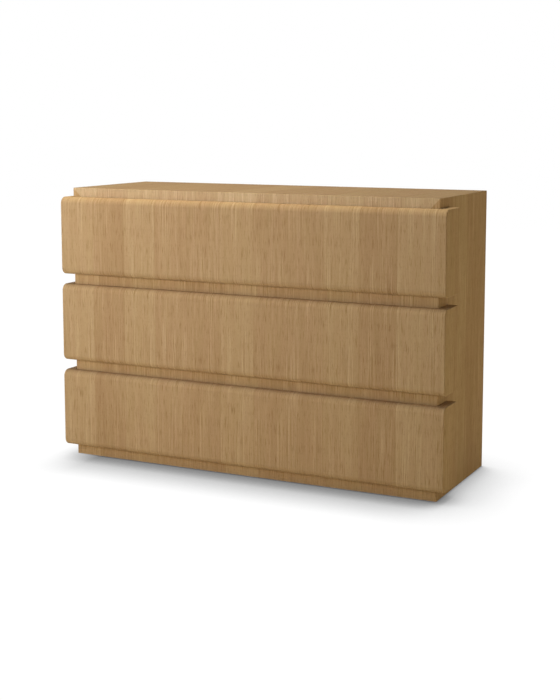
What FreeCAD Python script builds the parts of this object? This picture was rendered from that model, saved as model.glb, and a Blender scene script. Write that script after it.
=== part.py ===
# A low chest of three wide drawers in oak veneer. The carcass is a plain box with mitred top corners.
# Each drawer face stands proud of it and wraps round its sides in two short mitred returns.
# Units are millimetres. +X is to the right as seen from the front, the faces look towards -Y, +Z is up.
# The origin is on the floor, below the middle of the chest.
import FreeCAD, Part
import math
import os
from FreeCAD import Vector

# Carcass
carcass_width = 1164.0
carcass_depth = 408.0
top_thickness = 30.0
side_thickness = 30.0
floor_thickness = 18.0
plinth_thickness = 22.0
back_thickness = 9.0
back_lap = 12.0  # how far the back panel laps on to the sides and the top
back_floor_gap = 15.0  # below the back panel, for a skirting's edge
edge_ease = 1.5  # small round or chamfer on every outer arris

# Drawer faces, one above the other
drawer_count = 3
face_height = 234.0
face_reveal = 30.0  # open channel between two faces
top_reveal = 27.0  # band of the top panel that shows above the highest face
plinth_reveal = 31.0  # floor to the lowest face
front_projection = 28.0  # faces stand this far in front of the carcass
side_projection = 28.0  # returns stand this far outside the carcass sides
return_length = 75.0  # returns reach this far back along the sides
front_clearance = 3.0  # between the carcass front and the back of a face
side_clearance = 3.0  # between a carcass side and a return
face_edge_radius = 20.0  # long upper and lower edges of a face
face_edge_land = 3.0  # flat that stays behind that round, at least

# Rails between the drawers
rail_thickness = 22.0
rail_lap = 5.0  # a rail reaches this far behind the faces above and below it
floor_lap = 23.0  # the carcass floor's top, above the lower edge of the lowest face
back_rail_height = 80.0
back_rail_thickness = 18.0

# Drawer boxes
box_board = 15.0
box_lower_margin = 35.0  # lower edge of a face to the lower edge of its box
box_upper_margin = 29.0  # upper edge of a box to the upper edge of its face
bottom_thickness = 9.0
bottom_height = 12.0  # box's lower edge to the underside of its bottom
groove_depth = 7.0
groove_clearance = 0.5  # at the edges of the bottom in its grooves
tail_pitch = 34.0
tail_waist = 18.0  # a tail's width at its root
tail_slope = 1.0 / 7.0

# Ball-bearing slides, three members each
slide_gap = 12.7  # carcass side to box side
slide_height = 45.5
slide_setback = 4.0  # behind the carcass front
slide_rear_clearance = 45.0  # slide's end to the back panel
slide_level = 60.0  # slide's centre line above the box's lower edge
sheet = 1.2
race = 4.5  # height of a ball race
race_clearance = 0.3
web_clearance = 0.4
lip = 2.4
bend_radius = 1.6

# Small parts
glide_height = 1.0
glide_radius = 10.0
glide_inset = 40.0  # from the carcass front and back
plinth_glide_spread = 360.0
bumper_radius = 5.0
bumper_inset = 24.0  # from the upper and lower edge of a face
bumper_clearance = 0.3
screw_radius = 2.0
screw_fit = 0.05  # hole over shank, on the radius
screw_point = 3.0
screw_tip_radius = 0.4
pan_head_radius = 4.5
pan_head_height = 2.5
face_screw_bite = 14.0  # into the face
face_screw_columns = 3
face_screw_end_inset = 110.0  # from the box sides
face_screw_inset = 40.0  # from the box's upper and lower edge
flat_head_radius = 4.0
flat_head_height = 3.0
back_screw_length = 33.0  # head and shank
back_screw_pitch = 210.0
back_screw_end_inset = 45.0

# Sides of the turned small parts
screw_sides = 8
glide_sides = 20
bumper_sides = 12

# Places that follow from the sizes above
overall_depth = carcass_depth + front_projection
face_pitch = face_height + face_reveal
overall_height = plinth_reveal + drawer_count * face_pitch - face_reveal + top_reveal
half_width = carcass_width / 2
half_inside = half_width - side_thickness
half_face = half_width + side_projection
front = -overall_depth / 2 + front_projection  # plane of the carcass front
back = overall_depth / 2
face_front = front - front_projection
face_back = front - front_clearance
back_panel_front = back - back_thickness
under_top = overall_height - top_thickness
floor_top = plinth_reveal + floor_lap
slide_front = front + slide_setback
slide_back = back_panel_front - slide_rear_clearance
slide_length = slide_back - slide_front
box_half_width = half_inside - slide_gap
box_front = face_back
box_back = slide_back
past = 5.0  # cutting tools run this far past what they cut


def block(x0, x1, y0, y1, z0, z1):
    """A box between two corners."""
    return Part.makeBox(x1 - x0, y1 - y0, z1 - z0, Vector(x0, y0, z0))


def prism(outline, run):
    """A straight prism on a closed outline."""
    return Part.Face(Part.makePolygon(outline + [outline[0]])).extrude(run)


def beyond(inner, outer, reach):
    """The point that lies past outer on the line from inner."""
    along = outer - inner
    return outer + along * (reach / along.Length)


def one_solid(shape):
    """The single solid that a cut or a join leaves, with its flush faces merged."""
    return shape.removeSplitter().Solids[0]


def joined(solids):
    """Separate solids that share one node."""
    return solids[0] if len(solids) == 1 else Part.makeCompound(solids)


def mirrored(shape):
    """The same piece for the other side of the chest."""
    return shape.mirror(Vector(0, 0, 0), Vector(1, 0, 0))


def save(node, shape):
    shape.exportStep(f"parts/{node}.step")


def face_bottom(drawer):
    """Lower edge of a face. Drawer 1 is the highest."""
    return plinth_reveal + (drawer_count - drawer) * face_pitch


def turned(stages, sides):
    """A few-sided turned piece along +Y through its stages, each a distance and a radius."""
    turns = [2 * math.pi * n / sides for n in range(sides)]
    rings = [[Vector(r * math.sin(a), y, r * math.cos(a)) for a in turns] for y, r in stages]
    outlines = [rings[0][::-1], rings[-1]]
    for before, after in zip(rings, rings[1:]):
        outlines += [[before[n - 1], before[n], after[n], after[n - 1]] for n in range(sides)]
    return Part.makeSolid(Part.makeShell([Part.Face(Part.makePolygon(o + [o[0]])) for o in outlines]))


def driven(stages, place):
    """A screw or its hole, with its head's outer face at its place, pointing towards the front."""
    piece = turned(stages, screw_sides)
    piece.rotate(Vector(0, 0, 0), Vector(0, 0, 1), 180)
    piece.translate(place)
    return piece


def shank(neck, tip, grow):
    """The stages of a screw's shank and point."""
    r = screw_radius + grow
    return [(neck, r), (tip - screw_point, r), (tip, screw_tip_radius + grow)]


def carcass_shell():
    """Top and sides in one piece, eased along the outer arrises and rebated for the back."""
    outside = block(-half_width, half_width, front, back, glide_height, overall_height)
    low = glide_height + past
    eased = [edge for edge in outside.Edges if edge.CenterOfMass.z > low]
    outside = outside.makeFillet(edge_ease, eased)
    inside = block(-half_inside, half_inside, front - past, back + past, glide_height - past, under_top)
    half_rebate = half_inside + back_lap
    rebate = block(
        -half_rebate, half_rebate, back_panel_front, back + past, glide_height - past, under_top + back_lap
    )
    return outside.cut(inside).cut(rebate)


def top_and_sides():
    """The shell, parted along its two mitres into left side, top and right side."""
    inner = Vector(half_inside, front - past, under_top)
    outer = beyond(inner, Vector(half_width, front - past, overall_height), past)
    wedge = prism(
        [outer, inner, Vector(-inner.x, inner.y, inner.z), Vector(-outer.x, outer.y, outer.z)],
        Vector(0, carcass_depth + 2 * past, 0),
    )
    shell = carcass_shell()
    top = one_solid(shell.common(wedge))
    left, right = sorted(shell.cut(wedge).Solids, key=lambda s: s.CenterOfMass.x)
    return left, top, right


def back_screw_places():
    """Along the top edge and down both sides of the back panel."""
    half_row = half_inside + back_lap / 2
    level = under_top + back_lap / 2
    across = max(2, round(2 * half_row / back_screw_pitch))
    down = max(2, round((level - floor_top) / back_screw_pitch))
    span = 2 * (half_row - back_screw_end_inset)
    places = [
        Vector(-span / 2 + span * n / across, back, level) for n in range(across + 1)
    ]
    low = floor_top + back_screw_end_inset
    drop = level - back_screw_end_inset - low
    for side in (-1, 1):
        places += [Vector(side * half_row, back, low + drop * n / down) for n in range(down + 1)]
    return places


def back_screw(place, grow=0.0):
    """A countersunk screw or, grown by its fit, the hole for it."""
    head = [(-grow, flat_head_radius + grow)]
    return driven(head + shank(flat_head_height, back_screw_length + grow, grow), place)


def bored(shape, holes):
    """A piece with its screw holes."""
    for hole in holes:
        shape = shape.cut(hole)
    return shape.Solids[0]


def near(shape, places):
    """The places that lie within a piece's width and height."""
    room = shape.BoundBox
    return [p for p in places if room.XMin <= p.x <= room.XMax and room.ZMin <= p.z <= room.ZMax]


def make_carcass():
    left, top, right = top_and_sides()
    places = back_screw_places()
    for node, board in (("side_panel_left", left), ("top_panel", top), ("side_panel_right", right)):
        holes = [back_screw(p, screw_fit) for p in near(board, places)]
        save(node, bored(board, holes))

    half_back = half_inside + back_lap
    back_panel = block(
        -half_back, half_back, back_panel_front, back, glide_height + back_floor_gap, under_top + back_lap
    )
    save("back_panel", bored(back_panel, [back_screw(p, screw_fit) for p in places]))
    save("back_panel_screws", joined([back_screw(p) for p in places]))

    floor_under = floor_top - floor_thickness
    save("floor_panel", block(-half_inside, half_inside, front, back_panel_front, floor_under, floor_top))
    plinth = block(-half_inside, half_inside, front, front + plinth_thickness, glide_height, floor_under)
    save("plinth_board", plinth)
    rail_back = back_panel_front - back_rail_thickness
    back_rail = block(
        -half_inside, half_inside, rail_back, back_panel_front, under_top - back_rail_height, under_top
    )
    save("back_rail", back_rail)
    for drawer in range(1, drawer_count):
        low = face_bottom(drawer) - face_reveal - rail_lap
        high = face_bottom(drawer) + rail_lap
        rail = block(-half_inside, half_inside, front, front + rail_thickness, low, high)
        save(f"rail_{drawer}", rail)


def make_glides():
    """Nylon pads under the sides and the plinth board."""
    under_side = half_width - side_thickness / 2
    places = [(x, y) for x in (-under_side, under_side) for y in (front + glide_inset, back - glide_inset)]
    places += [(x, front + plinth_thickness / 2) for x in (-plinth_glide_spread / 2, plinth_glide_spread / 2)]
    pad = turned([(0, glide_radius), (glide_height, glide_radius)], glide_sides)
    pad.rotate(Vector(0, 0, 0), Vector(1, 0, 0), 90)
    save("floor_glides", joined([pad.translated(Vector(x, y, 0)) for x, y in places]))


def make_bumpers():
    """Soft dots on the front edges of the sides, behind the corners of each face."""
    thickness = front_clearance - bumper_clearance
    across = half_width - side_thickness / 2
    dot = turned([(-thickness, bumper_radius), (0, bumper_radius)], bumper_sides)
    dots = []
    for drawer in range(1, drawer_count + 1):
        low = face_bottom(drawer) + bumper_inset
        high = face_bottom(drawer) + face_height - bumper_inset
        dots += [dot.translated(Vector(x, front, z)) for x in (-across, across) for z in (low, high)]
    save("bumper_dots", joined(dots))


def wrapped_face(low):
    """Face and returns in one piece: the rounded section, run across the chest and hollowed from behind."""
    high = low + face_height
    thickness = face_back - face_front
    r = min(face_edge_radius, thickness - face_edge_land)
    bow = r * (1 - 0.5**0.5)  # from the square corner's sides to the middle of the arc
    tail = front + return_length

    def at(y, z):
        return Vector(-half_face, y, z)

    edges = [
        Part.LineSegment(at(tail, low), at(face_front + r, low)),
        Part.Arc(at(face_front + r, low), at(face_front + bow, low + bow), at(face_front, low + r)),
        Part.LineSegment(at(face_front, low + r), at(face_front, high - r)),
        Part.Arc(at(face_front, high - r), at(face_front + bow, high - bow), at(face_front + r, high)),
        Part.LineSegment(at(face_front + r, high), at(tail, high)),
        Part.LineSegment(at(tail, high), at(tail, low)),
    ]
    section = Part.Face(Part.Wire([edge.toShape() for edge in edges]))
    solid = section.extrude(Vector(2 * half_face, 0, 0))
    ends = [edge for edge in solid.Edges if abs(edge.CenterOfMass.x) > half_width]
    solid = solid.makeChamfer(edge_ease, ends)
    half_pocket = half_width + side_clearance
    pocket = block(-half_pocket, half_pocket, face_back, tail + past, low - past, high + past)
    return solid.cut(pocket)


def face_screw_places(drawer):
    """Centres of the screw heads on the inner face of the box front."""
    low = face_bottom(drawer) + box_lower_margin + face_screw_inset
    high = face_bottom(drawer) + face_height - box_upper_margin - face_screw_inset
    half_row = box_half_width - box_board - face_screw_end_inset
    pitch = 2 * half_row / (face_screw_columns - 1)
    columns = [pitch * n - half_row for n in range(face_screw_columns)]
    seat = box_front + box_board + pan_head_height
    return [Vector(x, seat, z) for x in columns for z in (low, high)]


def face_screw(place, grow=0.0):
    """A pan-head screw or, grown by its fit, the hole for it. The head rests on the box front."""
    neck = pan_head_height - grow
    head = [(-grow, pan_head_radius + grow), (neck, pan_head_radius + grow)]
    tip = pan_head_height + box_board + face_screw_bite + grow
    return driven(head + shank(neck, tip, grow), place)


def make_face(drawer, name):
    """The face and its two returns, parted along their mitres."""
    low = face_bottom(drawer)
    inner = Vector(half_width + side_clearance, face_back, low - past)
    outer = beyond(inner, Vector(half_face, face_front, low - past), past)
    wedge = prism(
        [outer, inner, Vector(-inner.x, inner.y, inner.z), Vector(-outer.x, outer.y, outer.z)],
        Vector(0, 0, face_height + 2 * past),
    )
    whole = wrapped_face(low)
    panel = one_solid(whole.common(wedge))
    left, right = sorted(whole.cut(wedge).Solids, key=lambda s: s.CenterOfMass.x)
    holes = [face_screw(p, screw_fit) for p in face_screw_places(drawer)]
    save(f"{name}_face", bored(panel, holes))
    save(f"{name}_return_left", left)
    save(f"{name}_return_right", right)


def tails(x0, x1, low, high, end, inward):
    """The dovetails of a box side at one of its ends, flaring towards the end."""
    count = max(2, round((high - low) / tail_pitch))
    pitch = (high - low) / count
    root = end + inward * box_board
    flare = box_board * tail_slope
    pieces = []
    for n in range(count):
        centre = low + pitch * (n + 0.5)
        outline = [
            Vector(x0, end, centre - tail_waist / 2 - flare),
            Vector(x0, end, centre + tail_waist / 2 + flare),
            Vector(x0, root, centre + tail_waist / 2),
            Vector(x0, root, centre - tail_waist / 2),
        ]
        pieces.append(prism(outline, Vector(x1 - x0, 0, 0)))
    return pieces


def make_box(drawer, name):
    """The dovetailed box: tails on the sides, pins on the front and the back, and a grooved-in bottom."""
    low = face_bottom(drawer) + box_lower_margin
    high = face_bottom(drawer) + face_height - box_upper_margin
    half_clear = box_half_width - box_board
    front_in = box_front + box_board
    back_in = box_back - box_board
    under = low + bottom_height
    over = under + bottom_thickness
    sink = groove_depth
    groove = block(-half_clear - sink, half_clear + sink, front_in - sink, back_in + sink, under, over)

    left_x = (-box_half_width, -half_clear)
    front_tails = tails(*left_x, low, high, box_front, 1)
    back_tails = tails(*left_x, low, high, box_back, -1)
    side = block(*left_x, front_in, back_in, low, high).fuse(front_tails + back_tails)
    side = one_solid(one_solid(side).cut(groove))
    save(f"{name}_box_side_left", side)
    save(f"{name}_box_side_right", mirrored(side))

    holes = [face_screw(p, screw_fit) for p in face_screw_places(drawer)]
    ends = (("front", box_front, front_in, front_tails, holes), ("back", back_in, box_back, back_tails, []))
    for place, y0, y1, own_tails, own_holes in ends:
        board = block(-box_half_width, box_half_width, y0, y1, low, high)
        board = board.cut(own_tails).cut([mirrored(t) for t in own_tails]).cut(groove)
        save(f"{name}_box_{place}", bored(one_solid(board), own_holes))

    reach = sink - groove_clearance
    bottom = block(-half_clear - reach, half_clear + reach, front_in - reach, back_in + reach, under, over)
    save(f"{name}_box_bottom", bottom)
    save(f"{name}_face_screws", joined([face_screw(p) for p in face_screw_places(drawer)]))


def channel(web, mouth, half_height, lip_height, y0, y1, level):
    """A rolled channel of the left slide. web and mouth are distances from the carcass side."""
    way = 1 if mouth > web else -1
    left = -half_inside
    bend = web + way * sheet
    lip_root = mouth - way * sheet
    flange = half_height - sheet
    tip = flange - lip_height
    upper = [(mouth, half_height), (mouth, tip), (lip_root, tip), (lip_root, flange), (bend, flange)]
    if not lip_height:
        upper = [(mouth, half_height), (mouth, flange), (bend, flange)]
    lower = [(u, -w) for u, w in reversed(upper)]
    section = [(web, half_height)] + upper + lower + [(web, -half_height)]
    outline = [Vector(left + u, y0, level + w) for u, w in section]
    solid = prism(outline, Vector(0, y1 - y0, 0))
    bends = [
        edge
        for edge in solid.Edges
        if abs(edge.CenterOfMass.x - left - web) < sheet / 2
        and abs(abs(edge.CenterOfMass.z - level) - half_height) < sheet / 2
        and abs(edge.CenterOfMass.y - (y0 + y1) / 2) < sheet
    ]
    return solid.makeFillet(bend_radius, bends)


def retainer(u0, u1, w0, y0, y1, level):
    """One ball retainer of the left slide, in the race whose lower face is w0 from the centre line."""
    left = -half_inside
    height = race - 2 * race_clearance
    z0 = level + w0 + race_clearance if w0 > 0 else level + w0 - race_clearance - height
    return block(left + u0, left + u1, y0, y1, z0, z0 + height)


def make_slides(drawer, name):
    """Outer, middle and inner members on both sides, and the ball retainers between them."""
    level = face_bottom(drawer) + box_lower_margin + slide_level
    half_outer = slide_height / 2
    half_middle = half_outer - sheet - race
    half_inner = half_middle - sheet - race
    middle_web = sheet + web_clearance
    inner_mouth = middle_web + sheet + web_clearance
    middle_mouth = slide_gap - sheet - web_clearance
    outer_mouth = middle_mouth - sheet - web_clearance
    members = {
        "outer": (0.0, outer_mouth, half_outer, lip),
        "middle": (middle_web, middle_mouth, half_middle, lip),
        "inner": (slide_gap, inner_mouth, half_inner, 0.0),
    }
    for member, (web, mouth, half_height, lip_height) in members.items():
        piece = channel(web, mouth, half_height, lip_height, slide_front, slide_back, level)
        save(f"{name}_slide_{member}_left", piece)
        save(f"{name}_slide_{member}_right", mirrored(piece))

    # of a drawn-out middle member, the rear half stays in the outer races and the front half in the inner ones
    half_way = (slide_front + slide_back) / 2
    rear = (half_way + past, slide_back - past)
    fore = (slide_front + past, half_way - past)
    outer_u = (middle_web, outer_mouth - sheet - web_clearance)
    inner_u = (inner_mouth, middle_mouth - sheet - web_clearance)
    strips = []
    for way in (1, -1):
        strips.append(retainer(*outer_u, way * half_middle, *rear, level))
        strips.append(retainer(*inner_u, way * half_inner, *fore, level))
    strips += [mirrored(s) for s in strips]
    save(f"{name}_ball_retainers", joined(strips))


os.makedirs("parts", exist_ok=True)
make_carcass()
make_glides()
make_bumpers()
for number in range(1, drawer_count + 1):
    make_face(number, f"drawer_{number}")
    make_box(number, f"drawer_{number}")
    make_slides(number, f"drawer_{number}")
print("overall", 2 * half_face, overall_depth, overall_height, "slide travel", slide_length)
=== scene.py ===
# A low chest of three wide drawers in oak veneer, in metres: +X to the right, -Y out of the faces, +Z up
import math

import bmesh
import bpy
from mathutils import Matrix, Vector


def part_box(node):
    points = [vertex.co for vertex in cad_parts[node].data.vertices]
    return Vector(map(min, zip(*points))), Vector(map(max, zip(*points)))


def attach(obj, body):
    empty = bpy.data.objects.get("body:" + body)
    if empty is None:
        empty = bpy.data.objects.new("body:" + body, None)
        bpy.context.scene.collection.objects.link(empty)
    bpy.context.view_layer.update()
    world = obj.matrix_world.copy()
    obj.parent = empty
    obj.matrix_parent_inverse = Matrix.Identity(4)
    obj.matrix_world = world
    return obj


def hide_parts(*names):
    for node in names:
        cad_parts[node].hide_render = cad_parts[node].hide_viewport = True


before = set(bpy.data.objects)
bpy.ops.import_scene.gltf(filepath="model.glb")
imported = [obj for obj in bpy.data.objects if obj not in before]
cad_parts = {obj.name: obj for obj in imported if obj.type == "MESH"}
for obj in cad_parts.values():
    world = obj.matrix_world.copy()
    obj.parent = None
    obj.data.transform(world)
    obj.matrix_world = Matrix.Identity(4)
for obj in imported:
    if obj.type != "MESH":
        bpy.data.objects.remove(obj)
for leftover in ("Cube", "Light", "Camera"):
    if leftover in bpy.data.objects:
        bpy.data.objects.remove(bpy.data.objects[leftover], do_unlink=True)
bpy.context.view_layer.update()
drawers = ("drawer_1", "drawer_2", "drawer_3")
sides = ("left", "right")
nothing = 1e-6  # shorter than this is no length


# Small helpers


def toLinear(hexColour):
    channels = [int(hexColour[n:n + 2], 16) / 255 for n in (1, 3, 5)]
    return [c / 12.92 if c <= 0.04045 else ((c + 0.055) / 1.055) ** 2.4 for c in channels] + [1.0]


def feed(tree, node, sources):
    # what each socket takes: a number, an output, a node (its first output) or a list of these
    for key, given in sources.items():
        for source in given if isinstance(given, list) else [given]:
            if isinstance(source, bpy.types.Node):
                source = source.outputs[0]
            if isinstance(source, bpy.types.NodeSocket):
                tree.links.new(source, node.inputs[key])
            else:
                node.inputs[key].default_value = source


def addNode(tree, kind, settings=None, sources=None):
    # settings are the node's own properties and fixed values
    node = tree.nodes.new(kind)
    for key, value in (settings or {}).items():
        if isinstance(key, str) and hasattr(node, key):
            setattr(node, key, value)
        else:
            node.inputs[key].default_value = value
    feed(tree, node, sources or {})
    return node


def newMaterial(name):
    material = bpy.data.materials.new(name)
    material.use_nodes = True
    tree = material.node_tree
    return material, tree, tree.nodes["Principled BSDF"]


def newObject(name, mesh):
    piece = bpy.data.objects.new(name, mesh)
    bpy.context.scene.collection.objects.link(piece)
    return piece


def settle(piece):
    # what the modifiers make becomes the piece's plain mesh
    graph = bpy.context.evaluated_depsgraph_get()
    raw = piece.data
    mesh = bpy.data.meshes.new_from_object(
        piece.evaluated_get(graph), preserve_all_data_layers=True, depsgraph=graph
    )
    piece.modifiers.clear()
    piece.data = mesh
    mesh.name = piece.name
    bpy.data.meshes.remove(raw)


def fit(piece, body, slot, *nodes):
    # onto its body, in place of the nodes that it shows
    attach(piece, body)
    if nodes:
        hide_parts(*nodes)


def spaced(low, high, count):
    return [low + (high - low) * n / (count - 1) for n in range(count)]


# Camera at the photograph's angle

view = {
    "place": (1.70579, -3.43851, 1.03967),
    "pitch": 83.245,
    "heading": 26.127,
    "lens": 66.879,
    "sensorWidth": 36,
    "shiftUp": -0.11668,
}


def makeCamera():
    camera = bpy.data.objects.new("camera", bpy.data.cameras.new("camera"))
    bpy.context.scene.collection.objects.link(camera)
    camera.location = view["place"]
    camera.rotation_euler = (math.radians(view["pitch"]), 0, math.radians(view["heading"]))
    camera.data.lens = view["lens"]
    camera.data.sensor_width = view["sensorWidth"]
    camera.data.shift_y = view["shiftUp"]
    bpy.context.scene.camera = camera
    print("camera set")


# Studio: pale floor, white surroundings, soft lamps

studio = {
    "floorHalf": 8.0,
    "floorColour": "#E5DFC9",  # warm, as its light on the lowest pieces shows
    "cloudScale": 3.0,  # clouds of a third of a metre
    "cloudDetail": 2.0,
    "cloudShare": (0.99, 1.01),
    "floorWhite": 1.02,  # a little above white, so that the noise of the render doesn't show in it
    "shadows": {  # each has its tone where the floor is closed in, and is gone where it is open
        "wide": {"reach": 0.22, "tone": 0.42, "closed": 0.40, "open": 0.97},
        "near": {"reach": 0.09, "tone": 0.60, "closed": 0.42, "open": 0.87},
        "contact": {"reach": 0.016, "tone": 0.45, "closed": 0.45, "open": 0.85},
    },
    "shadowSamples": 12,
    "shadowLean": (0.1, 0.25, 1.0),  # it reaches further to the front than to the right
    "shadowLeft": (-0.66, -0.50),  # and light from the left clears it between these
    "white": "#FFFFFF",
    "ambient": 0.04,
}
lamps = {
    "lowLamp": {
        "place": (-1.4, -2.6, 0.72), "aim": (-0.2, -0.2, 3.2), "size": 0.7, "power": 32.0, "tint": "#FFFFFF",
    },
    "middleLamp": {
        "place": (-1.0, -2.2, 1.2), "aim": (-0.2, -0.2, 3.2), "size": 1.0, "power": 24.0, "tint": "#FFFFFF",
    },
    "softLamp": {
        "place": (-2.2, -1.9, 1.3), "aim": (-0.3, -0.2, 0.6), "size": 1.2, "power": 17.5, "tint": "#E8F1FF",
    },
    "topLamp": {
        "place": (-0.35, -0.2, 2.5), "aim": (-0.35, -0.1, 0.8), "size": 1.8, "power": 42.0, "tint": "#FFFBE4",
    },
    "sideLamp": {
        "place": (3.2, 0.2, 0.6), "aim": (0.6, 0.0, 0.4), "size": 1.6, "power": 20.8, "tint": "#FFF3C9",
    },
    "backLamp": {
        "place": (-1.8, 3.0, 0.42), "aim": (0.0, 0.2, 0.4), "size": 0.7, "power": 40.0, "tint": "#FFF9F0",
    },
}


def shownToEye(tree):
    # 1 for what the camera sees, straight, in metal and gloss or through something clear
    path = addNode(tree, "ShaderNodeLightPath").outputs
    seen = path["Is Camera Ray"]
    for ray in ("Is Glossy Ray", "Is Transmission Ray"):
        seen = addNode(tree, "ShaderNodeMath", {"operation": "MAXIMUM"}, {0: seen, 1: path[ray]})
    return seen


def makeFloor():
    # painted floor, white to the eye where no shadow falls, with slight clouds
    material, tree, shader = newMaterial("paleStudioFloor")
    tree.nodes.remove(shader)
    clouds = addNode(
        tree, "ShaderNodeTexNoise", {"Scale": studio["cloudScale"], "Detail": studio["cloudDetail"]}
    )
    dimmest, brightest = studio["cloudShare"]
    share = addNode(tree, "ShaderNodeMapRange", {3: dimmest, 4: brightest}, {0: clouds.outputs["Fac"]})
    warm = addNode(
        tree, "ShaderNodeVectorMath", {"operation": "SCALE", 0: toLinear(studio["floorColour"])[:3]},
        {"Scale": share},
    )
    plain = addNode(tree, "ShaderNodeBsdfDiffuse", {}, {"Color": warm})

    leaning = addNode(tree, "ShaderNodeCombineXYZ", dict(enumerate(studio["shadowLean"])))
    depth = 1.0
    for shadow in studio["shadows"].values():
        nearby = addNode(
            tree, "ShaderNodeAmbientOcclusion",
            {"samples": studio["shadowSamples"], "Distance": shadow["reach"]}, {"Normal": leaning},
        )
        layer = addNode(
            tree, "ShaderNodeMapRange", {1: shadow["closed"], 2: shadow["open"], 3: shadow["tone"]},
            {0: nearby.outputs["AO"]},
        )
        depth = addNode(tree, "ShaderNodeMath", {"operation": "MULTIPLY"}, {0: depth, 1: layer})
    place = addNode(tree, "ShaderNodeTexCoord")
    across = addNode(tree, "ShaderNodeSeparateXYZ", {}, {0: place.outputs["Object"]})
    clear, full = studio["shadowLeft"]
    lit = addNode(tree, "ShaderNodeMapRange", {1: clear, 2: full, 3: 1.0, 4: 0.0}, {0: across})
    whole = addNode(tree, "ShaderNodeMix", {3: 1.0}, {0: lit, 2: depth})
    level = addNode(tree, "ShaderNodeMath", {"operation": "MULTIPLY", 1: studio["floorWhite"]}, {0: whole})
    shown = addNode(tree, "ShaderNodeEmission", {"Color": toLinear(studio["white"])}, {"Strength": level})
    mix = addNode(tree, "ShaderNodeMixShader", {}, {0: shownToEye(tree), 1: plain, 2: shown})
    feed(tree, tree.nodes["Material Output"], {"Surface": mix})

    half = studio["floorHalf"]
    corners = [(-half, -half, 0), (half, -half, 0), (half, half, 0), (-half, half, 0)]
    mesh = bpy.data.meshes.new("floor")
    mesh.from_pydata(corners, [], [(0, 1, 2, 3)])
    mesh.materials.append(material)
    floor = newObject("floor", mesh)
    print("floor made")


def makeSurroundings():
    world = bpy.data.worlds.new("surroundings")
    bpy.context.scene.world = world
    world.use_nodes = True
    tree = world.node_tree
    tree.nodes.clear()
    white = toLinear(studio["white"])
    light = addNode(tree, "ShaderNodeBackground", {"Color": white, "Strength": studio["ambient"]})
    shown = addNode(tree, "ShaderNodeBackground", {"Color": white, "Strength": 1.0})
    mix = addNode(tree, "ShaderNodeMixShader", {}, {0: shownToEye(tree), 1: light, 2: shown})
    addNode(tree, "ShaderNodeOutputWorld", {}, {"Surface": mix})
    bpy.context.scene.view_settings.view_transform = "Standard"
    print("surroundings made")


def makeLamps():
    for name, lamp in lamps.items():
        data = bpy.data.lights.new(name, "AREA")
        data.shape = "DISK"
        data.size = lamp["size"]
        data.energy = lamp["power"]
        data.color = toLinear(lamp["tint"])[:3]
        item = bpy.data.objects.new(name, data)
        bpy.context.scene.collection.objects.link(item)
        item.visible_camera = False
        item.location = lamp["place"]
        ahead = Vector(lamp["aim"]) - Vector(lamp["place"])
        item.rotation_euler = ahead.to_track_quat("-Z", "Y").to_euler()
    print("lamps set")


# Wood: tone from broad bands and fine lines, pores, then colour, sheen and a slight relief

grain = {  # the same for all woods
    "detail": {"band": 2.0, "patch": 1.0, "line": 3.0, "strand": 1.0, "pore": 1.0},
    "roughness": 0.6,
    "driftScale": 2.2,  # the whole grain sways once in about half a metre
    "mean": 0.5,  # of each layer, all run from 0 to 1
    "busyBands": (0.44, 0.60),  # between these the lines of a band grow from faint to strong
    "busyLines": (0.25, 1.7),
    "strandEdge": (0.58, 0.74),
    "poreEdge": (0.60, 0.72),
    "stops": {"deep": 0.1, "middle": 0.5, "pale": 0.9},
    "reliefStrength": 0.12,
    "reliefDepth": 0.0003,
    "poreDullness": 0.12,
    "ior": 1.5,
    "facing": 0.7,  # the cosine from which a surface counts as facing along an axis
}


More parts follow.
